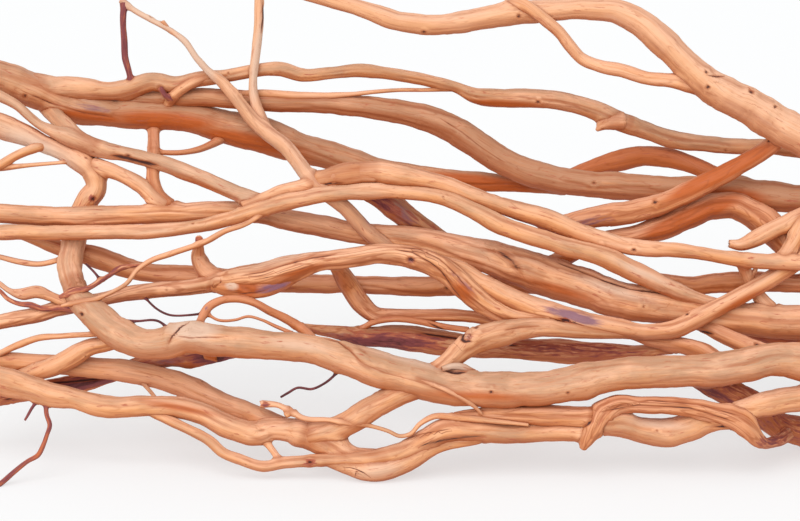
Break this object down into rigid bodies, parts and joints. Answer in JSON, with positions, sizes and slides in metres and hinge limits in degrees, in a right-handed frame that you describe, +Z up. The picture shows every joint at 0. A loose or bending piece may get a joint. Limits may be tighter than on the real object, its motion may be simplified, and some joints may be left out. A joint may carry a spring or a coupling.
{
  "type": "driftwood root",
  "caption": "Weathered driftwood root: a long, low tangle of smooth fused limbs with thin rootlets and broken stubs, resting on its lowest bends.",
  "frame": {"origin": "on the floor, under the centre of the whole root's bounding box", "axes": "+Z up, +X along the root's length, +Y away from the front view"},
  "size_m": [0.9934, 0.2736, 0.4614],
  "materials": {
    "weathered_wood": "bare, water-worn, matt to satin"
  },
  "bodies": {
    "root": {"driftwood_root": "weathered_wood"}
  },
  "joints": []
}
